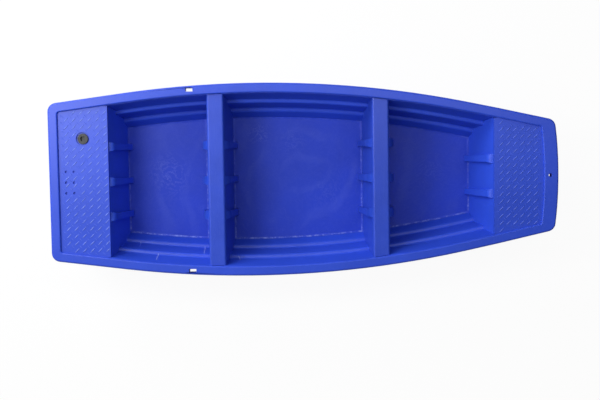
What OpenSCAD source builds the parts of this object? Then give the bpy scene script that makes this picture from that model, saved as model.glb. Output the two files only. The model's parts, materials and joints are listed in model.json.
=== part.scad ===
// Flat-bottomed open workboat with a moulded double skin, stepped side walls and two thwarts.
// Millimetres. x runs from the stern (0) to the bow (hull_len), y to port, z up from the ground.
// from_stern() moves each piece so that the middle of the boat stands on the origin.

/* [Plan shape] */
// Overall length over the gunwale
hull_len = 3200; // [3000:20:3400]
// Greatest width over the gunwale
beam = 1212; // [1140:4:1300]
// Where the greatest width is, as a share of the length from the stern
beam_share = 0.405; // [0.38:0.005:0.44]
// Width of the stern, before its corners are rounded
stern_w = 984; // [920:4:1040]
// Width of the bow, before its corners are rounded
bow_w = 696; // [620:4:780]
// Curved share of a side from the greatest width to the stern; the rest is straight
stern_curve = 0.645; // [0.5:0.005:0.8]
// Curved share of a side from the greatest width to the bow; the rest is straight
bow_curve = 0.70; // [0.5:0.005:0.8]
// Radius of the slightly bulging bow end
bow_end_r = 2700; // [2000:100:4000]
// Radius of the corners of the gunwale
corner_r = 56; // [40:1:60]
// Radius of the corners inside the gunwale, round the decks
recess_r = 14; // [10:1:30]

/* [Heights] */
// Height of the gunwale over the ground
hull_h = 450; // [430:5:500]
// Height of the runners under the bottom
runner_h = 14; // [10:1:24]
// Height of the cockpit floor over the ground
floor_z = 60; // [54:1:72]
// Depth of decks and thwart tops below the gunwale
deck_drop = 14; // [10:1:18]
// Height of the lower ledge over the ground
low_ledge_z = 138; // [130:2:150]
// Height of the upper ledge over the ground
high_ledge_z = 290; // [270:5:310]

/* [Gunwale] */
// Width of the gunwale's top along the sides
rim_w = 61; // [56:1:66]
// Width of the gunwale's top across the bow
bow_rim_w = 103; // [95:1:115]
// How far the lip hangs down outside
lip_h = 60; // [50:2:70]
// How far the lip stands out from the hull at the sides and stern
lip_out = 44; // [40:1:46]
// How far the lip stands out from the hull at the bow, where the painter hole is
bow_lip_out = 78; // [74:1:86]
// Size of a rowlock slot, along and across the gunwale
slot_size = [45, 23];
// Distance of the rowlock slots from the middle of the aft thwart, towards the stern
slot_aft = 159; // [120:5:200]
// Distance of a slot's middle from the gunwale's edge
slot_in = 25; // [22:1:27]
// Diameter of the painter hole in the bow
painter_d = 23; // [18:1:30]
// Distance of the painter hole from the bow end
painter_in = 53; // [45:1:60]

/* [Side walls] */
// Thickness of the double skin
skin = 28; // [22:1:32]
// Width of each ledge
ledge_w = 25; // [20:1:30]
// Inward slope of the upper riser, from gunwale to upper ledge
high_riser_in = 29; // [20:1:36]
// Inward slope of the middle riser, from ledge to ledge
mid_riser_in = 22; // [16:1:30]
// Inward slope of the lowest riser, down to the floor
low_riser_in = 36; // [28:1:44]

/* [Decks and bulkheads] */
// Distance of the stern deck's front edge from the stern
stern_deck_x = 370; // [340:5:400]
// Distance of the bow deck's rear edge from the bow
bow_deck_len = 406; // [380:2:440]
// Thickness of a deck panel
deck_t = 14; // [12:1:18]
// Lean of the stern bulkhead from deck to floor
stern_draft = 56; // [40:1:66]
// Lean of the bow bulkhead from deck to floor
bow_draft = 82; // [60:1:96]
// Distance between the inner parts of the bow's rake and its tip, at the bottom
bow_rake = 266; // [220:2:276]

/* [Thwarts] */
// Where the aft thwart's middle is, as a share of the length from the stern
aft_thwart_share = 0.326; // [0.31:0.002:0.35]
// Where the forward thwart's middle is, as a share of the length from the stern
forward_thwart_share = 0.65; // [0.63:0.002:0.67]
// Width of a thwart's top
thwart_w = 104; // [90:2:120]
// Lean of a thwart's faces from top to floor
thwart_draft = 36; // [28:1:44]

/* [Stiffening ribs] */
// How far a rib stands out from its face
rib_out = 31; // [24:1:38]
// Width of a rib at the top, where it flares out
rib_top_w = 60; // [50:1:66]
// Width of a rib at the lower end of its shoulder
rib_w = 44; // [38:1:48]
// Width of a rib at the floor
rib_foot_w = 38; // [30:1:44]
// Distance between the middles of neighbouring ribs
rib_pitch = 221; // [200:1:240]
// How far below the deck a rib's sloping shoulder ends
rib_shoulder = 56; // [45:1:65]

/* [Runners] */
// Width of a runner
runner_w = 44; // [36:2:60]
// Where the outer runners are, as a share of the boat's width from its middle
runner_share = 0.21; // [0.17:0.005:0.24]

/* [Inspection plug and bracket holes] */
// Place of the plug on the stern deck: distance from the stern, distance from the middle
plug_at = [214, 272];
// Diameter of the plug's head
plug_d = 68; // [60:1:72]
// Diameter of the plug's threaded shank
shank_d = 54; // [46:1:56]
// Diameter of the recess round the plug
plug_recess_d = 84; // [76:1:90]
// Depth of the recess round the plug
plug_recess = 8; // [6:1:10]
// Diameter of a bracket hole
bracket_hole_d = 15; // [10:1:18]
// Middle of the bracket holes: distance from the stern
bracket_x = 128; // [115:1:140]
// Distance between bracket holes along and across the boat
bracket_pitch = [49, 67];

/* [Hidden] */
$fn = 64;

hull_blue = [0.16, 0.28, 0.75];
floor_blue = [0.14, 0.24, 0.66];
plug_black = [0.09, 0.09, 0.10];
gasket_black = [0.05, 0.05, 0.05];

// Levels that follow from the heights
deck_z = hull_h - deck_drop;
lip_z = hull_h - lip_h;
bottom_t = 32;
bottom_z = runner_h + bottom_t;

// Places along the boat that follow from its length
beam_at = beam_share * hull_len;
bow_deck_x = hull_len - bow_deck_len;
aft_thwart_x = aft_thwart_share * hull_len;
forward_thwart_x = forward_thwart_share * hull_len;
slot_x = aft_thwart_x - slot_aft;

// Vertical back planes of the two bulkheads, where the end boxes begin
bulkhead_t = 16;
stern_box_x = stern_deck_x - bulkhead_t;
bow_box_x = bow_deck_x + bulkhead_t;

// Ledges slope a little towards the middle of the boat, to drain
ledge_slope = 3;

// Inner profile of a side wall: [inset from the gunwale's edge, height], from the floor up
high_in = rim_w + high_riser_in;
low_in = high_in + ledge_w + mid_riser_in;
floor_in = low_in + ledge_w + low_riser_in;
inner_profile = [
    [floor_in, floor_z],
    [low_in + ledge_w, low_ledge_z - ledge_slope],
    [low_in, low_ledge_z],
    [high_in + ledge_w, high_ledge_z - ledge_slope],
    [high_in, high_ledge_z],
    [rim_w + 2, deck_z]
];

// Outer profile, one skin thickness outside the inner one, from the bottom up
outer_profile = [
    [floor_in - skin, runner_h],
    [low_in + ledge_w - skin, low_ledge_z - skin - ledge_slope],
    [low_in - skin, low_ledge_z - skin],
    [high_in + ledge_w - skin, high_ledge_z - skin - ledge_slope],
    [high_in - skin, high_ledge_z - skin],
    [lip_out, lip_z],
    [lip_out, deck_z]
];

// Sections of a side's three strips: two steps with their ledges, and the strake under the rim
lower_step = [
    [floor_in, runner_h], outer_profile[0], outer_profile[1], outer_profile[2],
    inner_profile[2], inner_profile[1], inner_profile[0]
];
upper_step = [
    outer_profile[2], outer_profile[3], outer_profile[4],
    inner_profile[4], inner_profile[3], inner_profile[2]
];
top_strake = [outer_profile[4], outer_profile[5], outer_profile[6], inner_profile[5], inner_profile[4]];

// A side leaves the greatest width as an arc and runs on straight from there to the end.
// Both stretches together fall by drop over reach; the lean is that of the straight one.
function lean(reach, drop, share) =
    let (
        arc = reach * share,
        first = atan(drop / (reach - arc / 2))
    )
    atan(drop / (reach - arc + arc * tan(first / 2) / tan(first)));

function fall(x, reach, drop, share) =
    let (
        arc = reach * share,
        angle = lean(reach, drop, share),
        r = arc / sin(angle)
    )
    x < arc ? r - sqrt(r * r - x * x) : r - r * cos(angle) + (x - arc) * tan(angle);

// Half the width over the gunwale, at x from the stern
function half_w(x) =
    beam / 2 - (x < beam_at
        ? fall(beam_at - x, beam_at, (beam - stern_w) / 2, stern_curve)
        : fall(x - beam_at, hull_len - beam_at, (beam - bow_w) / 2, bow_curve));

// Stations along the sides, shared by every piece that follows them
function steps(from, to, n) = [for (i = [0:n - 1]) from + (to - from) * i / n];
stations = concat(
    steps(stern_box_x, aft_thwart_x, 6),
    steps(aft_thwart_x, forward_thwart_x, 10),
    steps(forward_thwart_x, bow_box_x, 7),
    [bow_box_x]
);

// Points along the port side from one place to another, at an inset from the gunwale's edge
function side_points(from, to, inset) =
    let (xs = concat([from], [for (x = stations) if (x > from + 1 && x < to - 1) x], [to]))
    [for (x = xs) [x, half_w(x) - inset]];

function reversed(list) = [for (i = [len(list) - 1:-1:0]) list[i]];
function starboard(list) = [for (p = reversed(list)) [p[0], -p[1]]];
function unit(v) = v / norm(v);

// Arc of radius r that replaces corner b between a and c
arc_n = 6;
function fillet(a, b, c, r) =
    let (
        u = unit(a - b),
        v = unit(c - b),
        opening = acos(u * v),
        mid = b + unit(u + v) * r / sin(opening / 2),
        from = b + u * r / tan(opening / 2) - mid,
        to = b + v * r / tan(opening / 2) - mid,
        sweep = 180 - opening,
        side = sign(from[0] * to[1] - from[1] * to[0])
    )
    [for (i = [0:arc_n])
        let (t = side * sweep * i / arc_n)
        mid + [from[0] * cos(t) - from[1] * sin(t), from[0] * sin(t) + from[1] * cos(t)]];

// Closed plan outline at an inset, with its own ends and corner radius
bow_bulge_n = 6;
end_corner_r = 32;
function bow_end(x, y) = x - y * y / (2 * bow_end_r);
function plan(inset, stern_x, bow_x, r) =
    let (
        port = side_points(stern_x, bow_x, inset),
        last = len(port) - 1,
        y0 = port[0][1],
        y1 = port[last][1],
        stern_corner = [stern_x, y0],
        bow_corner = [bow_end(bow_x, y1), y1],
        near_bow = [bow_end(bow_x, y1 * 0.6), y1 * 0.6],
        half = concat(
            fillet([stern_x, 0], stern_corner, port[1], r),
            [for (i = [1:last - 1]) port[i]],
            fillet(port[last - 1], bow_corner, near_bow, r),
            [for (i = [bow_bulge_n - 1:-1:1])
                let (y = (y1 - r) * i / bow_bulge_n)
                [bow_end(bow_x, y), y]],
            [[bow_x, 0]]
        )
    )
    concat(half, [for (i = [len(half) - 2:-1:0]) [half[i][0], -half[i][1]]]);

// Solid through rows of points; each row is a closed ring with as many points as the next
module loft(rows) {
    n = len(rows[0]);
    m = len(rows);
    points = [for (row = rows) for (p = row) p];
    sides = [for (j = [0:m - 2]) for (i = [0:n - 1])
        let (a = j * n + i, b = j * n + (i + 1) % n)
        each [[a, b, b + n], [a, b + n, a + n]]];
    first = [for (i = [n - 1:-1:0]) i];
    last = [for (i = [0:n - 1]) (m - 1) * n + i];
    polyhedron(points, [for (f = concat(sides, [first, last])) reversed(f)], convexity = 8);
}

module from_stern() {
    translate([-hull_len / 2, 0, 0])
        children();
}

// Gunwale: a rim all round with a lip that hangs outside the hull, here as one ring
module gunwale() {
    difference() {
        translate([0, 0, lip_z])
            linear_extrude(lip_h)
                polygon(plan(0, 0, hull_len, corner_r));
        translate([0, 0, lip_z - 1])
            linear_extrude(deck_z - lip_z + 1)
                polygon(plan(lip_out, lip_out, hull_len - bow_lip_out, end_corner_r));
        translate([0, 0, deck_z - 1])
            linear_extrude(deck_drop + 2)
                polygon(plan(rim_w, rim_w, hull_len - bow_rim_w, recess_r));
        for (side = [-1, 1])
            translate([slot_x, side * (half_w(slot_x) - slot_in), lip_z - 1])
                translate([-slot_size[0] / 2, -slot_size[1] / 2, 0])
                    cube([slot_size[0], slot_size[1], lip_h + 2]);
        translate([hull_len - painter_in, 0, lip_z - 1])
            cylinder(d = painter_d, h = lip_h + 2);
    }
}

// Stretch of the ring between two stations, on one side or on both
module gunwale_part(from, to, low_y, high_y) {
    color(hull_blue)
    from_stern()
    intersection() {
        gunwale();
        translate([from, low_y, lip_z - 1])
            cube([to - from, high_y - low_y, lip_h + 2]);
    }
}

module gunwale_stern() {
    gunwale_part(-1, stern_box_x, -beam, beam);
}

module gunwale_port() {
    gunwale_part(stern_box_x, bow_box_x, 0, beam);
}

module gunwale_starboard() {
    gunwale_part(stern_box_x, bow_box_x, -beam, 0);
}

module gunwale_bow() {
    gunwale_part(bow_box_x, hull_len + 1, -beam, beam);
}

// Stretch of a side wall: the stepped double skin between two stations on the port side
module side_wall(from, to, section) {
    color(hull_blue)
    from_stern()
        loft([for (p = side_points(from, to, 0))
            [for (q = section) [p[0], p[1] - q[0], q[1]]]]);
}

module port_aft_lower_step() {
    side_wall(stern_box_x, aft_thwart_x, lower_step);
}

module port_aft_upper_step() {
    side_wall(stern_box_x, aft_thwart_x, upper_step);
}

module port_aft_top_strake() {
    side_wall(stern_box_x, aft_thwart_x, top_strake);
}

module port_mid_lower_step() {
    side_wall(aft_thwart_x, forward_thwart_x, lower_step);
}

module port_mid_upper_step() {
    side_wall(aft_thwart_x, forward_thwart_x, upper_step);
}

module port_mid_top_strake() {
    side_wall(aft_thwart_x, forward_thwart_x, top_strake);
}

module port_forward_lower_step() {
    side_wall(forward_thwart_x, bow_box_x, lower_step);
}

module port_forward_upper_step() {
    side_wall(forward_thwart_x, bow_box_x, upper_step);
}

module port_forward_top_strake() {
    side_wall(forward_thwart_x, bow_box_x, top_strake);
}

module starboard_aft_lower_step() {
    mirror([0, 1, 0])
        side_wall(stern_box_x, aft_thwart_x, lower_step);
}

module starboard_aft_upper_step() {
    mirror([0, 1, 0])
        side_wall(stern_box_x, aft_thwart_x, upper_step);
}

module starboard_aft_top_strake() {
    mirror([0, 1, 0])
        side_wall(stern_box_x, aft_thwart_x, top_strake);
}

module starboard_mid_lower_step() {
    mirror([0, 1, 0])
        side_wall(aft_thwart_x, forward_thwart_x, lower_step);
}

module starboard_mid_upper_step() {
    mirror([0, 1, 0])
        side_wall(aft_thwart_x, forward_thwart_x, upper_step);
}

module starboard_mid_top_strake() {
    mirror([0, 1, 0])
        side_wall(aft_thwart_x, forward_thwart_x, top_strake);
}

module starboard_forward_lower_step() {
    mirror([0, 1, 0])
        side_wall(forward_thwart_x, bow_box_x, lower_step);
}

module starboard_forward_upper_step() {
    mirror([0, 1, 0])
        side_wall(forward_thwart_x, bow_box_x, upper_step);
}

module starboard_forward_top_strake() {
    mirror([0, 1, 0])
        side_wall(forward_thwart_x, bow_box_x, top_strake);
}

// Ring of an end box at one level: two sides, two rounded corners and the end
function end_ring(inner_x, tip_x, inset, bulge) =
    let (
        inner = [inner_x, half_w(inner_x) - inset],
        y = half_w(tip_x) - inset,
        corner = [bulge ? bow_end(tip_x, y) : tip_x, y],
        toward = [tip_x, 0],
        r = min(end_corner_r, 0.8 * abs(corner[0] - inner_x)),
        half = concat([inner], fillet(inner, corner, toward, r))
    )
    concat(half, bulge ? [toward] : [], starboard(half));

// Inset of the outer hull at a height, with rows at every bend of the profile
function between(a, b, t) = a + (b - a) * t;
rows_per_riser = 4;
outer_rows = [
    for (i = [0:len(outer_profile) - 2])
        let (a = outer_profile[i], b = outer_profile[i + 1], n = b[1] > a[1] ? rows_per_riser : 1)
        for (k = [0:n - 1]) between(a, b, k / n),
    outer_profile[len(outer_profile) - 1]
];

// Stern box: the closed buoyancy space under the stern deck, with a stepped transom
module stern_box() {
    color(hull_blue)
    from_stern()
    difference() {
        loft([for (row = box_rows(deck_z - deck_t))
            [for (p = end_ring(stern_box_x, row[0], row[0], false)) [p[0], p[1], row[1]]]]);
        plug_socket();
    }
}

module plug_socket() {
    translate([plug_at[0], plug_at[1], deck_z - socket_h])
        cylinder(d = shank_d + 2 * shank_gap, h = socket_h);
}

function box_rows(top) =
    concat([for (row = outer_rows) if (row[1] < top - 1) row], [[lip_out, top]]);

// Bow box: the closed buoyancy space under the bow deck, with a bottom that sweeps up to the lip
sweep_power = 1.7;
function bow_tip(row) =
    let (up = (row[1] - runner_h) / (deck_z - deck_t - runner_h))
    hull_len - bow_lip_out - (row[0] - lip_out) * 0.2
        - (bow_rake - 0.2 * (outer_profile[0][0] - lip_out)) * (1 - pow(up, 1 / sweep_power));

module bow_box() {
    color(hull_blue)
    from_stern()
        loft([for (row = box_rows(deck_z - deck_t))
            [for (p = reversed(end_ring(bow_box_x, bow_tip(row), row[0], true)))
                [p[0], p[1], row[1]]]]);
}

// Flat plate between two stations, as wide as the space between the walls
module plate(from, to, low, high) {
    port = side_points(from, to, floor_in);
    translate([0, 0, low])
        linear_extrude(high - low)
            polygon(concat(port, starboard(port)));
}

module hull_bottom() {
    color(hull_blue)
    from_stern()
        plate(stern_box_x, bow_box_x, runner_h, bottom_z);
}

module floor_aft() {
    color(floor_blue)
    from_stern()
        plate(stern_box_x, aft_thwart_x, bottom_z, floor_z);
}

module floor_mid() {
    color(floor_blue)
    from_stern()
        plate(aft_thwart_x, forward_thwart_x, bottom_z, floor_z);
}

module floor_forward() {
    color(floor_blue)
    from_stern()
        plate(forward_thwart_x, bow_box_x, bottom_z, floor_z);
}

// Cross piece between the walls: drafted faces, and ends that follow the stepped wall
wall_gap = 0.4;
function level_rows(top) =
    concat([for (q = inner_profile) if (q[1] < top - 1) q], [level_at(top)]);
function level_at(z) =
    let (a = inner_profile[len(inner_profile) - 2], b = inner_profile[len(inner_profile) - 1])
    [between(a[0], b[0], (z - a[1]) / (b[1] - a[1])), z];
// How much of a face's lean is left at a height: none at the deck, all at the floor
function lean_left(z) = (deck_z - z) / (deck_z - floor_z);

module cross_piece(aft_x, forward_x, aft_draft, forward_draft, top) {
    loft([for (q = level_rows(top))
        let (
            a = aft_x - aft_draft * lean_left(q[1]),
            b = forward_x + forward_draft * lean_left(q[1]),
            ya = half_w(a) - q[0] - wall_gap,
            yb = half_w(b) - q[0] - wall_gap
        )
        [[a, -ya, q[1]], [b, -yb, q[1]], [b, yb, q[1]], [a, ya, q[1]]]]);
}

// Rib on a drafted face, the overlap of its side profile and its front profile.
// way is 1 on a face that looks forward and -1 on one that looks aft.
rib_top_z = deck_z - deck_t;
rib_lip = 2;
rib_gap = 0.1;
module rib(x, y, draft, way) {
    shoulder_z = deck_z - rib_shoulder;
    foot = draft * lean_left(floor_z);
    shoulder = draft * lean_left(shoulder_z) + rib_out;
    top = draft * lean_left(rib_top_z);
    half = [rib_foot_w, rib_w, rib_top_w] / 2;
    color(hull_blue)
    from_stern()
    translate([x + way * rib_gap, y, 0])
        rotate([0, 0, way > 0 ? 0 : 180])
            intersection() {
                rotate([90, 0, 0])
                    linear_extrude(2 * rib_top_w, center = true)
                        polygon([[foot, floor_z], [foot + rib_out, floor_z],
                                 [shoulder, shoulder_z], [top + rib_lip, rib_top_z],
                                 [top, rib_top_z]]);
                rotate([90, 0, 90])
                    linear_extrude(2 * (draft + rib_out), center = true)
                        polygon([[-half[0], floor_z], [half[0], floor_z],
                                 [half[1], shoulder_z], [half[2], rib_top_z],
                                 [-half[2], rib_top_z], [-half[1], shoulder_z]]);
            }
}

// Ribs are numbered from port to starboard
function rib_y(i, count) = ((count + 1) / 2 - i) * rib_pitch;

module stern_rib(i) {
    rib(stern_deck_x, rib_y(i, 3), stern_draft, 1);
}

module bow_rib(i) {
    rib(bow_deck_x, rib_y(i, 2), bow_draft, -1);
}

// Ribs 1 to 3 of a thwart are on its aft face and 4 to 6 on its forward face
module thwart_rib(x, i) {
    way = i > 3 ? 1 : -1;
    rib(x + way * thwart_w / 2, rib_y(i > 3 ? i - 3 : i, 3), thwart_draft, way);
}

module stern_bulkhead() {
    color(hull_blue)
    from_stern()
        cross_piece(stern_box_x, stern_deck_x, 0, stern_draft, deck_z - deck_t);
}

module bow_bulkhead() {
    color(hull_blue)
    from_stern()
        cross_piece(bow_deck_x, bow_box_x, bow_draft, 0, deck_z - deck_t);
}

module thwart(x) {
    color(hull_blue)
    from_stern()
        cross_piece(x - thwart_w / 2, x + thwart_w / 2, thwart_draft, thwart_draft, deck_z);
}

module aft_thwart() {
    thwart(aft_thwart_x);
}

module forward_thwart() {
    thwart(forward_thwart_x);
}

module aft_thwart_rib(i) {
    thwart_rib(aft_thwart_x, i);
}

module forward_thwart_rib(i) {
    thwart_rib(forward_thwart_x, i);
}

// Deck panel: plan shape inside the lip, with a front edge that carries on the bulkhead's lean
module deck_slab(edge_x, draft, way) {
    face = draft * deck_t / (deck_z - floor_z);
    far = way > 0 ? -10 : hull_len + 10;
    intersection() {
        translate([0, 0, deck_z - deck_t])
            linear_extrude(deck_t)
                difference() {
                    polygon(plan(lip_out, lip_out, hull_len - bow_lip_out, end_corner_r));
                    for (side = [0, 1])
                        mirror([0, side, 0])
                            wall_tops();
                }
        rotate([90, 0, 0])
            linear_extrude(2 * beam, center = true)
                polygon([[far, 0], [edge_x + way * face * hull_h / deck_t, 0],
                         [edge_x + way * face, deck_z - deck_t], [edge_x, deck_z], [far, deck_z]]);
    }
}

// Where the side walls' tops stand between the end boxes
module wall_tops() {
    inner = side_points(stern_box_x, bow_box_x, level_at(deck_z - deck_t)[0]);
    polygon(concat(inner, [[bow_box_x, beam], [stern_box_x, beam]]));
}

module stern_deck() {
    color(hull_blue)
    from_stern()
    difference() {
        deck_slab(stern_deck_x, stern_draft, 1);
        translate([plug_at[0], plug_at[1], deck_z - plug_recess])
            cylinder(d = plug_recess_d, h = plug_recess + 1);
        plug_socket();
        bracket_holes();
    }
}

bracket_hole_h = 11;
module bracket_holes() {
    for (i = [-0.5, 0.5], j = [-1:1])
        translate([bracket_x + i * bracket_pitch[0], j * bracket_pitch[1], deck_z - bracket_hole_h])
            cylinder(d = bracket_hole_d, h = bracket_hole_h + 1);
}

module bow_deck() {
    color(hull_blue)
    from_stern()
        deck_slab(bow_deck_x, bow_draft, -1);
}

// Runner: a bar under the bottom with sloping ends
runner_from = stern_box_x + 76;
runner_to = bow_box_x - 40;
runner_slope = 24;
runner_y = runner_share * beam;
module runner(y) {
    color(hull_blue)
    from_stern()
    translate([0, y, 0])
        rotate([90, 0, 0])
            linear_extrude(runner_w, center = true)
                polygon([[runner_from, runner_h], [runner_from + runner_slope, 0],
                         [runner_to - runner_slope, 0], [runner_to, runner_h]]);
}

module runner_port() {
    runner(runner_y);
}

module runner_centre() {
    runner(0);
}

module runner_starboard() {
    runner(-runner_y);
}

// Inspection plug: head with a six-sided key recess, and a shank down in its socket
shank_gap = 2;
socket_h = 36;
gasket_t = 2;
head_h = 8;
shank_h = 24;
seat_gap = 0.3;
key_d = 38;
key_h = 5;
plug_z = deck_z - plug_recess + gasket_t + seat_gap;

module plug_gasket() {
    color(gasket_black)
    from_stern()
    translate([plug_at[0], plug_at[1], deck_z - plug_recess])
        difference() {
            cylinder(d = plug_d - 2, h = gasket_t);
            translate([0, 0, -1])
                cylinder(d = shank_d + 2 * shank_gap, h = gasket_t + 2);
        }
}

module inspection_plug() {
    color(plug_black)
    from_stern()
    translate([plug_at[0], plug_at[1], plug_z])
        difference() {
            union() {
                rotate_extrude()
                    polygon([[0, 0], [plug_d / 2, 0], [plug_d / 2, head_h - 2],
                             [plug_d / 2 - 2, head_h], [0, head_h]]);
                translate([0, 0, -shank_h])
                    cylinder(d = shank_d, h = shank_h + 1);
            }
            translate([0, 0, head_h - key_h])
                cylinder(d = key_d, h = key_h + 1, $fn = 6);
        }
}

gunwale_stern();
gunwale_port();
gunwale_starboard();
gunwale_bow();
port_aft_lower_step();
port_aft_upper_step();
port_aft_top_strake();
port_mid_lower_step();
port_mid_upper_step();
port_mid_top_strake();
port_forward_lower_step();
port_forward_upper_step();
port_forward_top_strake();
starboard_aft_lower_step();
starboard_aft_upper_step();
starboard_aft_top_strake();
starboard_mid_lower_step();
starboard_mid_upper_step();
starboard_mid_top_strake();
starboard_forward_lower_step();
starboard_forward_upper_step();
starboard_forward_top_strake();
stern_box();
bow_box();
hull_bottom();
floor_aft();
floor_mid();
floor_forward();
stern_deck();
bow_deck();
stern_bulkhead();
bow_bulkhead();
aft_thwart();
forward_thwart();
for (i = [1:3])
    stern_rib(i);
for (i = [1:2])
    bow_rib(i);
for (i = [1:6])
    aft_thwart_rib(i);
for (i = [1:6])
    forward_thwart_rib(i);
runner_port();
runner_centre();
runner_starboard();
plug_gasket();
inspection_plug();
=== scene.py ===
import json
import math
import bpy
import bmesh
from mathutils import Matrix, Vector

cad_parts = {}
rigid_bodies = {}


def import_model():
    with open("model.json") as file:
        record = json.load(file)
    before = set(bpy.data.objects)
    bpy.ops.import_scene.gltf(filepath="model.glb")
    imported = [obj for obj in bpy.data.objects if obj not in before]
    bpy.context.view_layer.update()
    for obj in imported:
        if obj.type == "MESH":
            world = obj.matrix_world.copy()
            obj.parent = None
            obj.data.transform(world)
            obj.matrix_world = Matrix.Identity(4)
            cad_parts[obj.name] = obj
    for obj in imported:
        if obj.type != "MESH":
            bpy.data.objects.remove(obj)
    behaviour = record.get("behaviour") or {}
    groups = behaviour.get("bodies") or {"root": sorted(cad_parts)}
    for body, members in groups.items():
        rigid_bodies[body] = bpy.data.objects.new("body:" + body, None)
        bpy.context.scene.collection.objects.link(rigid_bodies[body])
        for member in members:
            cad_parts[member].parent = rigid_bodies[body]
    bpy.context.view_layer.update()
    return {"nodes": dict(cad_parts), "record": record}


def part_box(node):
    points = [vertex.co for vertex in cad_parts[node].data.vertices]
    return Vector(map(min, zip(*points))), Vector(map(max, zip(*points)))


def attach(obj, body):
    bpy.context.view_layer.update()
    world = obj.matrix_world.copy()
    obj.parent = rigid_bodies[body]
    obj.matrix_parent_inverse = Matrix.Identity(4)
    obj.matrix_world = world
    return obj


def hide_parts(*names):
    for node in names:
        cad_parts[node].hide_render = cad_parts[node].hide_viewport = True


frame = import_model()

nodes = frame["nodes"]
print("frame loaded:", len(nodes), "nodes")


# camera: nearly straight above the boat, as in the photograph
cameraSettings = dict(place=(-0.097, 0.1495, 5.670), turn=(-0.0536, -0.0130, -0.0154), lens=49.94)


def addCamera(s):
    data = bpy.data.cameras.new("camera")
    data.lens = s["lens"]
    data.sensor_width = 36.0
    data.sensor_fit = "HORIZONTAL"
    camera = bpy.data.objects.new("camera", data)
    camera.location = s["place"]
    camera.rotation_euler = s["turn"]
    bpy.context.collection.objects.link(camera)
    bpy.context.scene.camera = camera


addCamera(cameraSettings)
bpy.context.scene.view_settings.view_transform = "Standard"
print("camera done")


# small helpers for modelling by hand
def isNear(a, b, gap=0.001):
    return abs(a - b) < gap


def deselectAll():
    if bpy.context.mode != "OBJECT":
        bpy.ops.object.mode_set(mode="OBJECT")
    bpy.ops.object.select_all(action="DESELECT")


def pick(obj):
    deselectAll()
    obj.select_set(True)
    bpy.context.view_layer.objects.active = obj


def copyOfNode(name, pieceName):
    piece = bpy.data.objects.new(pieceName, nodes[name].data.copy())
    bpy.context.collection.objects.link(piece)
    piece.data.materials.clear()
    return piece


def joinPieces(pieces, pieceName):
    deselectAll()
    for piece in pieces:
        piece.select_set(True)
    bpy.context.view_layer.objects.active = pieces[0]
    if len(pieces) > 1:
        bpy.ops.object.join()
    pieces[0].name = pieceName
    pieces[0].data.name = pieceName
    return pieces[0]


def weld(piece, distance=0.00002, flat=0.3):
    # loose CAD triangles become welded flat faces
    pick(piece)
    bpy.ops.object.mode_set(mode="EDIT")
    bpy.ops.mesh.select_all(action="SELECT")
    bpy.ops.mesh.remove_doubles(threshold=distance)
    bpy.ops.mesh.dissolve_limited(angle_limit=math.radians(flat))
    bpy.ops.object.mode_set(mode="OBJECT")


def joinSections(names, pieceName, levels=()):
    # sections that touch: the faces between them go and the seams close;
    # levels are the two heights between which each lengthwise seam lies
    starts = [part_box(name)[0][0] for name in names]
    ends = [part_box(name)[1][0] for name in names]
    seams = [x for x in ends if any(isNear(x, start, 0.0005) for start in starts)]
    piece = joinPieces([copyOfNode(name, pieceName + name) for name in names], pieceName)
    pick(piece)
    bpy.ops.object.mode_set(mode="EDIT")
    bpy.ops.mesh.select_mode(type="FACE")
    bpy.ops.mesh.select_all(action="DESELECT")
    mesh = bmesh.from_edit_mesh(piece.data)
    for face in mesh.faces:
        places = [v.co for v in face.verts]
        across = [all(isNear(p.x, x, 0.0002) for p in places) for x in seams]
        lengthwise = [all(min(abs(p.z - z) for z in pair) < 0.0002 for p in places) for pair in levels]
        face.select = any(across) or any(lengthwise)
    bmesh.update_edit_mesh(piece.data)
    bpy.ops.mesh.delete(type="FACE")
    bpy.ops.object.mode_set(mode="OBJECT")
    weld(piece, 0.0001)
    return piece


def roundEdges(piece, wanted, radius, steps=3):
    pick(piece)
    bpy.ops.object.mode_set(mode="EDIT")
    bpy.ops.mesh.select_mode(type="EDGE")
    bpy.ops.mesh.select_all(action="DESELECT")
    mesh = bmesh.from_edit_mesh(piece.data)
    count = 0
    for edge in mesh.edges:
        if wanted(edge):
            edge.select = True
            count += 1
    bmesh.update_edit_mesh(piece.data)
    if count:
        bpy.ops.mesh.bevel(offset=radius, segments=steps, affect="EDGES", clamp_overlap=True)
    bpy.ops.object.mode_set(mode="OBJECT")
    return count


def bend(edge):
    return math.degrees(edge.calc_face_angle(0.0)) if len(edge.link_faces) == 2 else 0.0


def hollow(edge):
    # true where two faces meet in an inner corner
    return len(edge.link_faces) == 2 and not edge.is_convex


def middle(edge):
    return (edge.verts[0].co + edge.verts[1].co) / 2


def along(edge):
    return (edge.verts[1].co - edge.verts[0].co).normalized()


def smooth(piece, angle=50):
    pick(piece)
    if piece.data.has_custom_normals:
        bpy.ops.mesh.customdata_custom_splitnormals_clear()
    bpy.ops.object.shade_smooth()
    bpy.ops.object.mode_set(mode="EDIT")
    bpy.ops.mesh.select_mode(type="EDGE")
    bpy.ops.mesh.select_all(action="SELECT")
    bpy.ops.mesh.mark_sharp(clear=True)
    bpy.ops.mesh.select_all(action="DESELECT")
    bpy.ops.mesh.edges_select_sharp(sharpness=math.radians(angle))
    bpy.ops.mesh.mark_sharp()
    bpy.ops.object.mode_set(mode="OBJECT")
    weighted = piece.modifiers.new("evenNormals", "WEIGHTED_NORMAL")
    weighted.keep_sharp = True
    weighted.weight = 60
    bpy.ops.object.modifier_apply(modifier=weighted.name)


def combine(base, other, way):
    pick(base)
    step = base.modifiers.new("combine", "BOOLEAN")
    step.operation = way
    step.solver = "EXACT"
    step.object = other
    bpy.ops.object.modifier_apply(modifier=step.name)
    bpy.data.objects.remove(other)


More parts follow.
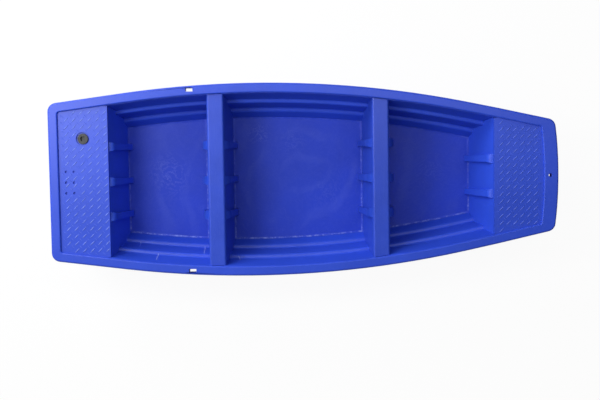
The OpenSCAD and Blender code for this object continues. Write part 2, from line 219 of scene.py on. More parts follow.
def reachPast(piece, x, distance):
    # points in the plane at x go on along the lines that lead to them
    mesh = bmesh.new()
    mesh.from_mesh(piece.data)
    moves = []
    for vertex in mesh.verts:
        if isNear(vertex.co.x, x, 0.0005):
            ways = [vertex.co - edge.other_vert(vertex).co for edge in vertex.link_edges]
            ways = [way.normalized() for way in ways if way.x * distance > 0]
            way = max(ways, key=lambda w: abs(w.x), default=Vector((distance, 0, 0)))
            if abs(way.x) < 0.8:
                way = Vector((distance, 0, 0)).normalized()
            moves.append((vertex, way * abs(distance / way.x)))
    for vertex, move in moves:
        vertex.co += move
    mesh.to_mesh(piece.data)
    mesh.free()


def cutAcross(piece, x, keep=""):
    # keep names the end that stays; without it the faces are only divided
    pick(piece)
    bpy.ops.object.mode_set(mode="EDIT")
    bpy.ops.mesh.select_all(action="SELECT")
    bpy.ops.mesh.bisect(plane_co=(x, 0, 0), plane_no=(1, 0, 0), use_fill=bool(keep),
                        clear_inner=keep == "forward", clear_outer=keep == "aft")
    bpy.ops.object.mode_set(mode="OBJECT")


def markWear(piece, howWorn):
    # the plastics read this attribute for their paler edges and crests; on the tread crests it is wear
    # and a painted highlight
    layer = piece.data.attributes.new("wear", "FLOAT", "POINT")
    for vertex, value in zip(piece.data.vertices, layer.data):
        value.value = howWorn(vertex.co)


def finishPiece(piece, body, slot, material, *replaced):
    piece.data.materials.clear()
    piece.data.materials.append(material)
    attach(piece, body)
    if replaced:
        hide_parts(*replaced)


# plastics
def addNode(tree, kind, **inputs):
    node = tree.nodes.new(kind)
    for key, value in inputs.items():
        if key in node.inputs:
            node.inputs[key].default_value = value
        else:
            setattr(node, key, value)
    return node


def addRamp(tree, *stops):
    ramp = tree.nodes.new("ShaderNodeValToRGB")
    first, last = ramp.color_ramp.elements
    first.position, first.color = stops[0][0], (*stops[0][1], 1)
    last.position, last.color = stops[-1][0], (*stops[-1][1], 1)
    for place, colour in stops[1:-1]:
        ramp.color_ramp.elements.new(place).color = (*colour, 1)
    return ramp


black, white = (0, 0, 0), (1, 1, 1)
# what the plastics share: where their noises are cut into marks
markSettings = dict(tone=(0.3, 0.7), scuff=(0.475, 0.5, 0.525), ring=(0.62, 0.95), patch=(0.42, 0.62),
                    chipScale=38.0, spotCore=0.2, sheen=(-0.05, 0.08), duller=0.3, grainDepth=0.001)


def mouldedPlastic(name, s):
    m = markSettings
    material = bpy.data.materials.new(name)
    material.use_nodes = True
    tree = material.node_tree
    link = tree.links.new
    shader = tree.nodes["Principled BSDF"]
    shader.inputs["IOR"].default_value = 1.5
    shader.inputs["Specular IOR Level"].default_value = s["shine"]
    coords = tree.nodes.new("ShaderNodeTexCoord")
    place = coords.outputs["Object"]
    drawn = addNode(tree, "ShaderNodeVectorMath", operation="MULTIPLY")
    drawn.inputs[1].default_value = s["stretch"]
    link(place, drawn.inputs[0])

    # slow change of tone over the moulding
    cloud = addNode(tree, "ShaderNodeTexNoise", Scale=s["cloudScale"], Detail=4.0, Roughness=0.6)
    link(place, cloud.inputs["Vector"])
    tone = addRamp(tree, (m["tone"][0], [c * (1 - s["toneChange"]) for c in s["colour"]]),
                   (m["tone"][1], [c * (1 + s["toneChange"]) for c in s["colour"]]))
    link(cloud.outputs["Fac"], tone.inputs["Fac"])

    # thin swirling scuffs, paler and duller than the plastic
    warp = addNode(tree, "ShaderNodeTexNoise", Scale=s["scuffScale"], Detail=2.0)
    link(drawn.outputs["Vector"], warp.inputs["Vector"])
    swirl = addNode(tree, "ShaderNodeVectorMath", operation="MULTIPLY_ADD")
    swirl.inputs[1].default_value = (0.5, 0.5, 0.5)
    link(warp.outputs["Color"], swirl.inputs[0])
    link(drawn.outputs["Vector"], swirl.inputs[2])
    lines = addNode(tree, "ShaderNodeTexNoise", Scale=s["scuffScale"] * 3, Detail=6.0,
                    Roughness=0.7)
    link(swirl.outputs["Vector"], lines.inputs["Vector"])
    thin = addRamp(tree, *zip(m["scuff"], (black, white, black)))
    link(lines.outputs["Fac"], thin.inputs["Fac"])

    # wide faint rings, as wiping and boots leave on a floor
    rings = addNode(tree, "ShaderNodeTexWave", wave_type="RINGS", rings_direction="Z",
                    Scale=s["ringScale"], Distortion=7.0, Detail=3.0)
    rings.inputs["Detail Scale"].default_value = 1.6
    link(place, rings.inputs["Vector"])
    ringLine = addRamp(tree, *zip(m["ring"], (black, white)))
    link(rings.outputs["Fac"], ringLine.inputs["Fac"])
    patch = addRamp(tree, *zip(m["patch"], (black, white)))
    link(warp.outputs["Fac"], patch.inputs["Fac"])
    inPatches = addNode(tree, "ShaderNodeMath", operation="MULTIPLY")
    link(ringLine.outputs["Color"], inPatches.inputs[0])
    link(patch.outputs["Color"], inPatches.inputs[1])

    # paler edges and crests, where the mesh stores how pale; on the tread crests this is wear and a
    # painted highlight
    wearAndHighlight = addNode(tree, "ShaderNodeAttribute", attribute_name="wear")
    chips = addNode(tree, "ShaderNodeTexNoise", Scale=m["chipScale"], Detail=6.0, Roughness=0.7)
    link(place, chips.inputs["Vector"])
    chipped = addRamp(tree, *zip(s["chips"], (black, white)))
    link(chips.outputs["Fac"], chipped.inputs["Fac"])
    rubbedAndHighlight = addNode(tree, "ShaderNodeMath", operation="MULTIPLY")
    link(wearAndHighlight.outputs["Fac"], rubbedAndHighlight.inputs[0])
    link(chipped.outputs["Color"], rubbedAndHighlight.inputs[1])

    # more scuffs where the floor is stood on
    level = s["scuffs"]
    trodden = None
    for spot, radius, extra in s["spots"]:
        away = addNode(tree, "ShaderNodeVectorMath", operation="DISTANCE")
        away.inputs[1].default_value = spot
        link(place, away.inputs[0])
        near = addNode(tree, "ShaderNodeMapRange")
        near.inputs["From Min"].default_value = radius
        near.inputs["From Max"].default_value = radius * m["spotCore"]
        near.inputs["To Min"].default_value = 0.0 if trodden else level
        near.inputs["To Max"].default_value = extra
        link(away.outputs["Value"], near.inputs["Value"])
        if trodden:
            most = addNode(tree, "ShaderNodeMath", operation="MAXIMUM")
            link(trodden.outputs[0], most.inputs[0])
            link(near.outputs["Result"], most.inputs[1])
            trodden = most
        else:
            trodden = near
    amount = addNode(tree, "ShaderNodeMath", operation="MULTIPLY")
    amount.inputs[1].default_value = level
    link(thin.outputs["Color"], amount.inputs[0])
    if trodden:
        link(trodden.outputs[0], amount.inputs[1])
    withRings = addNode(tree, "ShaderNodeMath", operation="MULTIPLY_ADD")
    withRings.inputs[1].default_value = s["rings"]
    link(inPatches.outputs[0], withRings.inputs[0])
    link(amount.outputs[0], withRings.inputs[2])
    withWearAndHighlight = addNode(tree, "ShaderNodeMath", operation="MULTIPLY_ADD", use_clamp=True)
    withWearAndHighlight.inputs[1].default_value = s["wear"]
    link(rubbedAndHighlight.outputs[0], withWearAndHighlight.inputs[0])
    link(withRings.outputs[0], withWearAndHighlight.inputs[2])

    # the pale mix takes scuffs, rings and the stored paleness, which on the tread crests is a painted
    # highlight as well as wear
    scuffedAndHighlighted = addNode(tree, "ShaderNodeMix", data_type="RGBA")
    scuffedAndHighlighted.inputs["B"].default_value = (*s["scuffColour"], 1)
    link(withWearAndHighlight.outputs[0], scuffedAndHighlighted.inputs["Factor"])
    link(tone.outputs["Color"], scuffedAndHighlighted.inputs["A"])
    link(scuffedAndHighlighted.outputs["Result"], shader.inputs["Base Color"])

    # sheen varies with the same marks; the skin is finely grained
    dull = addNode(tree, "ShaderNodeMapRange")
    dull.inputs["To Min"].default_value = s["roughness"] + m["sheen"][0]
    dull.inputs["To Max"].default_value = s["roughness"] + m["sheen"][1]
    link(cloud.outputs["Fac"], dull.inputs["Value"])
    dulled = addNode(tree, "ShaderNodeMath", operation="MULTIPLY_ADD")
    dulled.inputs[1].default_value = m["duller"]
    link(withWearAndHighlight.outputs[0], dulled.inputs[0])
    link(dull.outputs["Result"], dulled.inputs[2])
    link(dulled.outputs[0], shader.inputs["Roughness"])
    grain = addNode(tree, "ShaderNodeTexNoise", Scale=s["grainScale"], Detail=3.0)
    link(place, grain.inputs["Vector"])
    bump = addNode(tree, "ShaderNodeBump", Strength=s["bump"], Distance=m["grainDepth"])
    link(grain.outputs["Fac"], bump.inputs["Height"])
    link(bump.outputs["Normal"], shader.inputs["Normal"])
    return material


# a spot is its place, its radius and how scuffed its middle is
hullLook = dict(colour=(0.0200, 0.0640, 0.555), toneChange=0.07, cloudScale=3.0,
                scuffColour=(0.22, 0.30, 0.75), scuffScale=5.0, scuffs=0.04, spots=(),
                ringScale=1.4, rings=0.0, wear=0.25, chips=(0.40, 0.75), stretch=(1, 1, 1),
                roughness=0.40, shine=0.36, grainScale=220.0, bump=0.12)
# the floors' colour is darker than the hull's: painted shade for the low floor between the walls
floorShadedLook = dict(hullLook, colour=(0.0145, 0.0460, 0.490), scuffs=0.035, rings=0.035, wear=0.60,
                 roughness=0.50, shine=0.25, scuffColour=(0.30, 0.38, 0.80), chips=(0.46, 0.66),
                 spots=(((-0.895, 0.035, 0.06), 0.16, 0.22), ((-0.30, 0.30, 0.06), 0.10, 0.18),
                        ((-0.07, 0.24, 0.06), 0.13, 0.12), ((0.16, -0.10, 0.06), 0.18, 0.08),
                        ((0.85, 0.05, 0.06), 0.18, 0.08)))
# the thwarts' colour is darker than the hull's: painted shade that dims their tops
thwartShadedLook = dict(hullLook, colour=(0.0175, 0.0560, 0.480), stretch=(9.0, 0.5, 9.0), scuffs=0.09,
                  toneChange=0.10)
# the bulkheads' colour, ribs included, is lighter than the hull's: painted light on walls the lamps
# leave dim
bulkheadLitLook = dict(hullLook, colour=(0.0250, 0.0780, 0.640))
# the tread's strong pale mix on its crests is wear and a painted highlight
treadLook = dict(hullLook, wear=0.95, chips=(0.2, 0.5))
scrapedLook = dict(hullLook, colour=(0.30, 0.36, 0.80), roughness=0.6, scuffs=0.3)
plugLook = dict(hullLook, colour=(0.021, 0.025, 0.032), toneChange=0.15, cloudScale=40.0,
                scuffColour=(0.12, 0.12, 0.125), scuffScale=60.0, scuffs=0.2, ringScale=60.0, wear=0.2,
                roughness=0.5, shine=0.5, grainScale=900.0, bump=0.3)
gasketLook = dict(plugLook, colour=(0.012, 0.012, 0.013), roughness=0.7)

hullPlastic = mouldedPlastic("hullPlastic", hullLook)
floorShadedPlastic = mouldedPlastic("floorShadedPlastic", floorShadedLook)
thwartShadedPlastic = mouldedPlastic("thwartShadedPlastic", thwartShadedLook)
bulkheadLitPlastic = mouldedPlastic("bulkheadLitPlastic", bulkheadLitLook)
treadPlastic = mouldedPlastic("treadPlastic", treadLook)
scrapedPlastic = mouldedPlastic("scrapedPlastic", scrapedLook)
plugPlastic = mouldedPlastic("plugPlastic", plugLook)
gasketRubber = mouldedPlastic("gasketRubber", gasketLook)
print("materials done")


# gunwale: rounded rim with softened slots and hole
gunwaleSettings = dict(sections=("gunwale_stern", "gunwale_port", "gunwale_starboard", "gunwale_bow"),
                       outer=0.014, inner=0.010, small=0.002, under=0.004,
                       slotX=(-0.76, -0.67), slotY=0.568, slotHalf=0.016, slotSide=0.54,
                       holeX=(1.53, 1.565), holeHalf=0.02,
                       recessX=(1.46, 1.53), recessHalf=0.31, recessDepth=0.02, recessShift=0.011)


def makeGunwale(s):
    rim = joinSections(s["sections"], "gunwaleRim")
    low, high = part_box("gunwale_stern")
    rimTop = high[2]
    # the end of the bow deck's recess lies a little further forward
    for vertex in rim.data.vertices:
        p = vertex.co
        atEnd = s["recessX"][0] < p.x < s["recessX"][1] and abs(p.y) < s["recessHalf"]
        if atEnd and p.z > rimTop - s["recessDepth"]:
            vertex.co.x += s["recessShift"]

    def flatEdge(edge, z):
        return bend(edge) > 60 and abs(along(edge).z) < 0.5 and isNear(middle(edge).z, z)

    def small(edge):
        p = middle(edge)
        inSlot = s["slotX"][0] < p.x < s["slotX"][1] and isNear(abs(p.y), s["slotY"], s["slotHalf"])
        atHole = s["holeX"][0] < p.x < s["holeX"][1] and abs(p.y) < s["holeHalf"]
        return flatEdge(edge, rimTop) and (inSlot or atHole)

    def outer(edge):
        # the face beside it goes down the whole lip
        lipFaces = [f for f in edge.link_faces
                    if abs(f.normal.z) < 0.1 and min(v.co.z for v in f.verts) < low[2] + 0.02]
        return flatEdge(edge, rimTop) and not small(edge) and bool(lipFaces)

    def inner(edge):
        return flatEdge(edge, rimTop) and not small(edge) and not outer(edge)

    def under(edge):
        p = middle(edge)
        nearSlot = s["slotX"][0] < p.x < s["slotX"][1] and abs(p.y) > s["slotSide"]
        return flatEdge(edge, low[2]) and not nearSlot

    print("small rim edges:", roundEdges(rim, small, s["small"], 2))
    print("outer rim edges:", roundEdges(rim, outer, s["outer"], 4))
    print("inner rim edges:", roundEdges(rim, inner, s["inner"], 2))
    print("lower rim edges:", roundEdges(rim, under, s["under"], 2))
    smooth(rim)
    finishPiece(rim, "hull", "hull_plastic", hullPlastic, *s["sections"])


makeGunwale(gunwaleSettings)
print("gunwale done")


# side walls: rounded ledges
wallSettings = dict(parts=("aft", "mid", "forward"), strips=("lower_step", "upper_step", "top_strake"),
                    ledge=0.011, sharp=18, past=0.03)


def makeWall(side, s):
    names = [f"{side}_{part}_{strip}" for part in s["parts"] for strip in s["strips"]]
    boxes = [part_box(name) for name in names[:3]]
    levels = [(boxes[i][1][2], boxes[i + 1][0][2]) for i in range(2)]
    wall = joinSections(names, "sideWall" + side.capitalize(), levels)
    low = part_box(names[0])[0][0]
    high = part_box(names[-1])[1][0]
    top = boxes[-1][1][2]
    # both ends reach past the joints while the ledges are rounded, and are then cut there
    reachPast(wall, low, -s["past"])
    reachPast(wall, high, s["past"])

    def ledge(edge):
        p = middle(edge)
        inside = low - s["past"] + 0.001 < p.x < high + s["past"] - 0.001 and p.z < top - 0.002
        return inside and bend(edge) > s["sharp"] and abs(along(edge).x) > 0.7

    print(wall.name, "edges:", roundEdges(wall, ledge, s["ledge"], 3))
    cutAcross(wall, low, "forward")
    cutAcross(wall, high, "aft")
    smooth(wall)
    finishPiece(wall, "hull", "hull_plastic", hullPlastic, *names)


for side in ("port", "starboard"):
    makeWall(side, wallSettings)
print("side walls done")


# thwarts and bulkheads with their ribs
crossSettings = dict(top=0.013, sink=0.002, reach=0.009)
crossPieces = (
    ("stern_bulkhead", "sternBulkhead", "stern_rib_", 3, False),
    ("bow_bulkhead", "bowBulkhead", "bow_rib_", 2, False),
    ("aft_thwart", "aftThwart", "aft_thwart_rib_", 6, True),
    ("forward_thwart", "forwardThwart", "forward_thwart_rib_", 6, True),
)


def makeCross(node, pieceName, ribPrefix, ribCount, isThwart, s):
    cross = copyOfNode(node, pieceName)
    weld(cross)
    for vertex in cross.data.vertices:
        vertex.co.y += math.copysign(s["reach"], vertex.co.y)
    low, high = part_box(node)
    centre = (low[0] + high[0]) / 2
    ribs = [ribPrefix + str(i + 1) for i in range(ribCount)]
    for name in ribs:
        rib = copyOfNode(name, name + "Copy")
        weld(rib)
        ribLow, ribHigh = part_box(name)
        way = 1 if (ribLow[0] + ribHigh[0]) / 2 > centre else -1
        if not isThwart:
            way = 1 if node.startswith("stern") else -1
        rib.data.transform(Matrix.Translation((-way * s["sink"], 0, 0)))
        combine(cross, rib, "UNION")
    weld(cross)

    def top(edge):
        return isNear(middle(edge).z, high[2]) and bend(edge) > 40 and abs(along(edge).y) > 0.9

    if isThwart:
        print(pieceName, "top edges:", roundEdges(cross, top, s["top"], 4))
    smooth(cross)
    plastic = thwartShadedPlastic if isThwart else bulkheadLitPlastic
    finishPiece(cross, "hull", "hull_plastic", plastic, node, *ribs)


for cross in crossPieces:
    makeCross(*cross, crossSettings)
print("thwarts and bulkheads done")


# small pale scrapes across the starboard ledges, laid on the wall
scrapeSettings = dict(wall="sideWallStarboard", width=0.003, proud=0.0005, cuts=7,
                      above=0.42, ledge=0.29,  # looked down from, and used where the wall is missed
                      places=(((-1.095, -0.412), (-1.088, -0.433)),
                              ((-0.956, -0.474), (-0.954, -0.500)),
                              ((-0.668, -0.448), (-0.660, -0.484)),
                              ((-0.436, -0.498), (-0.424, -0.521))))


def makeScrapes(s):
    wall = bpy.data.objects[s["wall"]]
    strips = []
    for start, end in s["places"]:
        start, end = Vector(start), Vector(end)
        deselectAll()
        bpy.ops.mesh.primitive_cube_add(size=1)
        strip = bpy.context.active_object
        strip.scale = ((end - start).length, s["width"], 1)
        strip.rotation_euler = (0, 0, math.atan2(end.y - start.y, end.x - start.x))
        strip.location = (*((start + end) / 2), 0)
        bpy.ops.object.transform_apply(location=True, rotation=True, scale=True)
        bpy.ops.object.mode_set(mode="EDIT")
        bpy.ops.mesh.select_all(action="SELECT")
        bpy.ops.mesh.subdivide(number_cuts=s["cuts"])
        bpy.ops.object.mode_set(mode="OBJECT")
        for vertex in strip.data.vertices:
            start = Vector((vertex.co.x, vertex.co.y, s["above"]))
            hit, place = wall.ray_cast(start, Vector((0, 0, -1)))[:2]
            vertex.co.z = (place.z if hit else s["ledge"]) + math.copysign(s["proud"], vertex.co.z)
        strips.append(strip)
    scrapes = joinPieces(strips, "scrapes")
    weld(scrapes, 0.00001, 0.01)
    smooth(scrapes)
    finishPiece(scrapes, "hull", "hull_plastic", scrapedPlastic)


makeScrapes(scrapeSettings)
print("scrapes done")


# floors: a hollow sweeps up where they meet the walls and cross pieces
floorSettings = dict(cove=0.008, rise=0.0035, spreadY=0.002, spreadX=0.0008, radius=0.006, strips=6,
                     paleFrom=0.0004, paleSide=-0.2, wear=(1.0, 0.15))
floorPieces = (
    ("floor_aft", "floorAft", "stern_bulkhead", "aft_thwart"),
    ("floor_mid", "floorMid", "aft_thwart", "forward_thwart"),
    ("floor_forward", "floorForward", "forward_thwart", "bow_bulkhead"),
)


def makeFloor(node, pieceName, aftCross, forwardCross, s):
    floor = copyOfNode(node, pieceName)
    weld(floor)
    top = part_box(node)[1][2]
    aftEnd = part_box(aftCross)[1][0]
    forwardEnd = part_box(forwardCross)[0][0]
    cutAcross(floor, aftEnd, "forward")
    cutAcross(floor, forwardEnd, "aft")
    pick(floor)
    bpy.ops.object.mode_set(mode="EDIT")
    bpy.ops.mesh.select_mode(type="FACE")
    bpy.ops.mesh.select_all(action="DESELECT")
    mesh = bmesh.from_edit_mesh(floor.data)
    for face in mesh.faces:
        face.select = face.normal.z > 0.9 and face.calc_center_median().z > top - 0.001
    bmesh.update_edit_mesh(floor.data)
    bpy.ops.mesh.dissolve_faces()
    bpy.ops.mesh.inset(thickness=s["cove"], use_boundary=True)
    mesh = bmesh.from_edit_mesh(floor.data)
    for v in mesh.verts:
        if v.co.z > top - 0.001 and not any(face.select for face in v.link_faces):
            v.co.z += s["rise"]
            v.co.y += math.copysign(s["spreadY"], v.co.y)
            if v.co.x < aftEnd + 0.001:
                v.co.x -= s["spreadX"]
            if v.co.x > forwardEnd - 0.001:
                v.co.x += s["spreadX"]
    bmesh.update_edit_mesh(floor.data)
    bpy.ops.object.mode_set(mode="OBJECT")

    def foot(edge):
        return all(isNear(v.co.z, top, 0.0005) for v in edge.verts) and 5 < bend(edge) < 60

    def wear(p):
        # the foot of the floor is paler, most along the starboard side
        if p.z < top + s["paleFrom"]:
            return 0.0
        return s["wear"][0] if p.y < s["paleSide"] else s["wear"][1]

    print(pieceName, "edges:", roundEdges(floor, foot, s["radius"], 3))
    for i in range(1, s["strips"]):
        cutAcross(floor, aftEnd + (forwardEnd - aftEnd) * i / s["strips"])
    markWear(floor, wear)
    smooth(floor)
    finishPiece(floor, "hull", "floor_plastic", floorShadedPlastic, node)


for floorPiece in floorPieces:
    makeFloor(*floorPiece, floorSettings)
print("floors done")


# decks: eased edges at their openings
deckSettings = dict(hole=0.0012, short=0.03)
deckPieces = (
    ("stern_deck", "sternDeck"),
    ("bow_deck", "bowDeck"),
)


def makeDeck(node, pieceName, s):
    deck = copyOfNode(node, pieceName)
    weld(deck)
    low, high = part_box(node)

    def holeEdge(edge):
        p = middle(edge)
        inside = low[0] + 0.02 < p.x < high[0] - 0.01 and abs(p.y) < high[1] - 0.05
        sharp = isNear(p.z, high[2], 0.0005) and bend(edge) > 60
        return inside and sharp and edge.calc_length() < s["short"]

    print(pieceName, "edges:", roundEdges(deck, holeEdge, s["hole"], 2))
    smooth(deck)
    finishPiece(deck, "hull", "hull_plastic", hullPlastic, node)


for deckPiece in deckPieces:
    makeDeck(*deckPiece, deckSettings)
print("decks done")


# tread: one low lens-shaped bar of each kind, copied over the decks
treadSettings = dict(bar=(0.052, 0.0080, 0.0076), faintBar=(0.038, 0.0064, 0.0060), turn=45, reach=12,
                     sink=0.0018, drop=0.0025, probe=(0, 0.3, 0.6, 0.85),
                     paleFrom=0.0006, wearAndHighlightTo=0.0018)
# each deck sets how pale its crests get, wear and a painted highlight, stronger on the stern deck
treadPieces = (
    dict(deckNode="stern_deck", deckName="sternDeck", treadName="sternTread",
         start=(-1.489, 0.0265), pitch=(0.0485, 0.0455), wearAndHighlight=0.78),
    dict(deckNode="bow_deck", deckName="bowDeck", treadName="bowTread",
         start=(1.241, 0.021), pitch=(0.0435, 0.0455), wearAndHighlight=0.38),
)


def makeBar(name, size, turn):
    deselectAll()
    bpy.ops.mesh.primitive_uv_sphere_add(segments=12, ring_count=6, radius=0.5)
    bar = bpy.context.active_object
    bar.name = name
    bar.scale = size
    bar.rotation_euler = (0, 0, math.radians(turn))
    bpy.ops.object.transform_apply(location=False, rotation=True, scale=True)
    return bar


def deckHeight(deck, rim, x, y):
    # None where the rim or an opening is above the place
    if rim.ray_cast(Vector((x, y, 1)), Vector((0, 0, -1)))[0]:
        return None
    hit, place = deck.ray_cast(Vector((x, y, 1)), Vector((0, 0, -1)))[:2]
    return place.z if hit else None


def makeTread(s, deckNode, deckName, treadName, start, pitch, wearAndHighlight):
    deck = bpy.data.objects[deckName]
    rim = bpy.data.objects["gunwaleRim"]
    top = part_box(deckNode)[1][2]
    bars = []
    kinds = ((makeBar("treadBar", s["bar"], s["turn"]), (0, 0)),
             (makeBar("faintBar", s["faintBar"], -s["turn"]), (pitch[0] / 2, pitch[1] / 2)))
    columns = range(-s["reach"], s["reach"] + 1)
    for bar, (offsetX, offsetY) in kinds:
        # places under the bar: its widest outline, drawn in to its middle
        under = [v.co * k for v in bar.data.vertices if abs(v.co.z) < 0.0001 for k in s["probe"]]
        for i in columns:
            for j in columns:
                x = start[0] + i * pitch[0] + offsetX
                y = start[1] + j * pitch[1] + offsetY
                levels = [deckHeight(deck, rim, x + p.x, y + p.y) for p in under]
                if None in levels or min(levels) < top - s["drop"]:
                    continue
                copy = bpy.data.objects.new(treadName + "Bar", bar.data.copy())
                copy.data.transform(Matrix.Translation((x, y, top - s["sink"])))
                bpy.context.collection.objects.link(copy)
                bars.append(copy)
        bpy.data.objects.remove(bar)
    tread = joinPieces(bars, treadName)
    wearAndHighlightDepth = s["wearAndHighlightTo"] - s["paleFrom"]
    # the bar crests grow paler towards their tops: wear and a painted highlight
    markWear(tread, lambda p: wearAndHighlight * max(0.0, min(1.0, (p.z - top - s["paleFrom"]) / wearAndHighlightDepth)))
    pick(tread)
    bpy.ops.object.shade_smooth()
    print(treadName, "bars:", len(bars), "faces:", len(tread.data.polygons))
    finishPiece(tread, "hull", "hull_plastic", treadPlastic)


for treadPiece in treadPieces:
    makeTread(treadSettings, **treadPiece)
print("tread done")


# end boxes and runners: outer skin with moulded radii
shellSettings = dict(box=0.011, runner=0.006, sharp=18, past=0.03)
shellPieces = (
    ("stern_box", "sternBox", "box", 1),
    ("bow_box", "bowBox", "box", 0),
    ("runner_port", "runnerPort", "runner", None),
    ("runner_centre", "runnerCentre", "runner", None),
    ("runner_starboard", "runnerStarboard", "runner", None),
)


def makeShell(node, pieceName, kind, joint, s):
    # joint says which end of a box, 0 aft or 1 forward, stands against the walls
    shell = copyOfNode(node, pieceName)
    weld(shell)
    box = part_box(node)
    top = box[1][2]
    jointX = None if joint is None else box[joint][0]
    if jointX is not None:
        reachPast(shell, jointX, s["past"] if joint else -s["past"])

    def outside(edge):
        p = middle(edge)
        atEnd = jointX is not None and (p.x - jointX) * (1 if joint else -1) > s["past"] - 0.001
        runsLevel = p.z < top - 0.002 and abs(along(edge).z) < 0.5
        return bend(edge) > s["sharp"] and runsLevel and not atEnd

    print(pieceName, "edges:", roundEdges(shell, outside, s[kind], 3))
    if jointX is not None:
        cutAcross(shell, jointX, "aft" if joint else "forward")
    smooth(shell)
    finishPiece(shell, "hull", "hull_plastic", hullPlastic, node)


for shellPiece in shellPieces:
    makeShell(*shellPiece, shellSettings)
print("outer skin done")


# inspection plug: grip notches round the head, a ring groove and a six-sided key recess
plugSettings = dict(notches=16, notch=(0.004, 0.03), notchOut=0.0015, groove=(0.024, 0.0265, 0.0015),
                    edge=0.0009, key=(0.0245, 0.0245, 0.020), keyDrop=0.005, keyTurn=8)


def addDrum(sides, radius, depth, place):
    deselectAll()
    bpy.ops.mesh.primitive_cylinder_add(vertices=sides, radius=radius, depth=depth, location=place)
    drum = bpy.context.active_object
    bpy.ops.object.transform_apply(location=True, rotation=True, scale=True)
    return drum


def makePlug(s):
    plug = copyOfNode("inspection_plug", "inspectionPlug")
    weld(plug)
    low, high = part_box("inspection_plug")
    x, y, top = (low[0] + high[0]) / 2, (low[1] + high[1]) / 2, high[2]
    radius = (high[0] - low[0]) / 2 + s["notchOut"]
    notches = []
    for i in range(s["notches"]):
        turn = 2 * math.pi * (i + 0.5) / s["notches"]
        place = (x + radius * math.cos(turn), y + radius * math.sin(turn), top)
        notches.append(addDrum(16, *s["notch"], place))
    combine(plug, joinPieces(notches, "notchCutter"), "DIFFERENCE")
    inner, outer, deep = s["groove"]
    ring = addDrum(64, outer, deep * 2, (x, y, top))
    combine(ring, addDrum(64, inner, deep * 4, (x, y, top)), "DIFFERENCE")
    combine(plug, ring, "DIFFERENCE")

    deselectAll()
    bpy.ops.mesh.primitive_cube_add(size=1, location=(x, y, top - s["keyDrop"]))
    key = bpy.context.active_object
    key.scale = s["key"]
    key.rotation_euler = (0, 0, math.radians(s["keyTurn"]))
    bpy.ops.object.transform_apply(location=True, rotation=True, scale=True)
    combine(plug, key, "DIFFERENCE")

    def topEdge(edge):
        return bend(edge) > 35 and not hollow(edge) and isNear(middle(edge).z, top, 0.0003)

    print("plug edges:", roundEdges(plug, topEdge, s["edge"], 2))
    smooth(plug, 40)
    finishPiece(plug, "plug", "plug_plastic", plugPlastic, "inspection_plug")


makePlug(plugSettings)
print("plug done")


# other CAD nodes keep their shape and get the plastics
looks = dict(hull_plastic=hullPlastic, floor_plastic=floorShadedPlastic, plug_plastic=plugPlastic,
             gasket_rubber=gasketRubber)
for part in frame["record"]["subparts"]:
    node = nodes[part["node"]]
    if node.hide_render:
        continue
    print("kept node:", node.name)
    node.data.materials.clear()
    node.data.materials.append(looks[part["material_slot"]])


# floor and light
stageSettings = dict(size=30.0, white=0.90, cameraShare=0.94, worldStern=0.62, worldBow=0.10,
                     worldBlend=0.5)
lampSettings = (
    dict(name="keyPort", place=(-3.8, 4.0, 2.4), aim=(0, 0, 0.2), size=(3.2, 2.6), power=190),
    dict(name="softboxStern", place=(-2.75, 0.9, 3.6), aim=(-0.9, 0.1, 0.3), size=(1.1, 1.5),
         power=80),
    dict(name="softboxPort", place=(0.2, 1.05, 3.5), aim=(0.1, 0.5, 0.3), size=(4.6, 0.45),
         power=38),
)


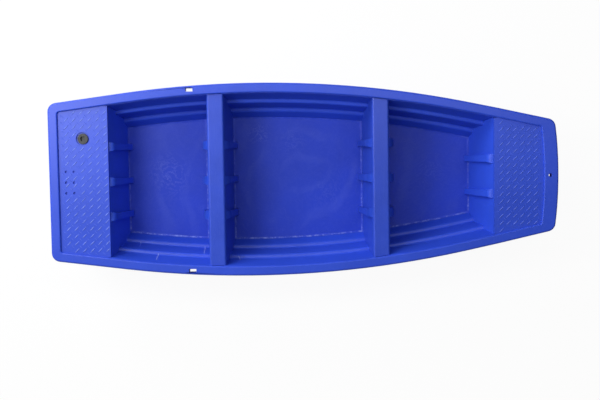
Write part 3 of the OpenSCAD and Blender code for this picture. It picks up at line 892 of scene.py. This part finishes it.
def addFloor(s):
    bpy.ops.mesh.primitive_plane_add(size=s["size"], location=(0, 0, 0))
    floor = bpy.context.active_object
    floor.name = "studioFloor"
    material = bpy.data.materials.new("paleFloor")
    material.use_nodes = True
    tree = material.node_tree
    tree.nodes.clear()
    link = tree.links.new
    # the camera sees the floor nearly white, and the rest keeps the boat's shadow
    out = addNode(tree, "ShaderNodeOutputMaterial")
    diffuse = addNode(tree, "ShaderNodeBsdfDiffuse", Color=(s["white"], s["white"], s["white"], 1))
    glow = addNode(tree, "ShaderNodeEmission", Strength=1.0)
    path = addNode(tree, "ShaderNodeLightPath")
    share = addNode(tree, "ShaderNodeMath", operation="MULTIPLY")
    share.inputs[1].default_value = s["cameraShare"]
    mix = addNode(tree, "ShaderNodeMixShader")
    link(path.outputs["Is Camera Ray"], share.inputs[0])
    link(share.outputs[0], mix.inputs["Fac"])
    link(diffuse.outputs[0], mix.inputs[1])
    link(glow.outputs[0], mix.inputs[2])
    link(mix.outputs[0], out.inputs["Surface"])
    floor.data.materials.append(material)


def addLamp(name, place, aim, size, power):
    data = bpy.data.lights.new(name, "AREA")
    data.shape = "RECTANGLE"
    data.size, data.size_y = size
    data.energy = power
    lamp = bpy.data.objects.new(name, data)
    lamp.location = place
    lamp.rotation_euler = (Vector(aim) - Vector(place)).to_track_quat("-Z", "Y").to_euler()
    bpy.context.collection.objects.link(lamp)


def addWorld(s):
    # a soft room light, stronger from the stern than from the bow; the camera sees it white
    world = bpy.data.worlds.new("studio")
    world.use_nodes = True
    tree = world.node_tree
    link = tree.links.new
    back = tree.nodes["Background"]
    back.inputs["Color"].default_value = (1, 1, 1, 1)
    coords = addNode(tree, "ShaderNodeTexCoord")
    parts = addNode(tree, "ShaderNodeSeparateXYZ")
    link(coords.outputs["Generated"], parts.inputs[0])
    level = addNode(tree, "ShaderNodeMapRange")
    level.inputs["From Min"].default_value = -s["worldBlend"]
    level.inputs["From Max"].default_value = s["worldBlend"]
    level.inputs["To Min"].default_value = s["worldStern"]
    level.inputs["To Max"].default_value = s["worldBow"]
    link(parts.outputs["X"], level.inputs["Value"])
    path = addNode(tree, "ShaderNodeLightPath")
    seen = addNode(tree, "ShaderNodeMix", data_type="FLOAT")
    seen.inputs["B"].default_value = 1.0
    link(path.outputs["Is Camera Ray"], seen.inputs["Factor"])
    link(level.outputs["Result"], seen.inputs["A"])
    link(seen.outputs["Result"], back.inputs["Strength"])
    bpy.context.scene.world = world


addFloor(stageSettings)
addWorld(stageSettings)
for lamp in lampSettings:
    addLamp(**lamp)
print("stage done")
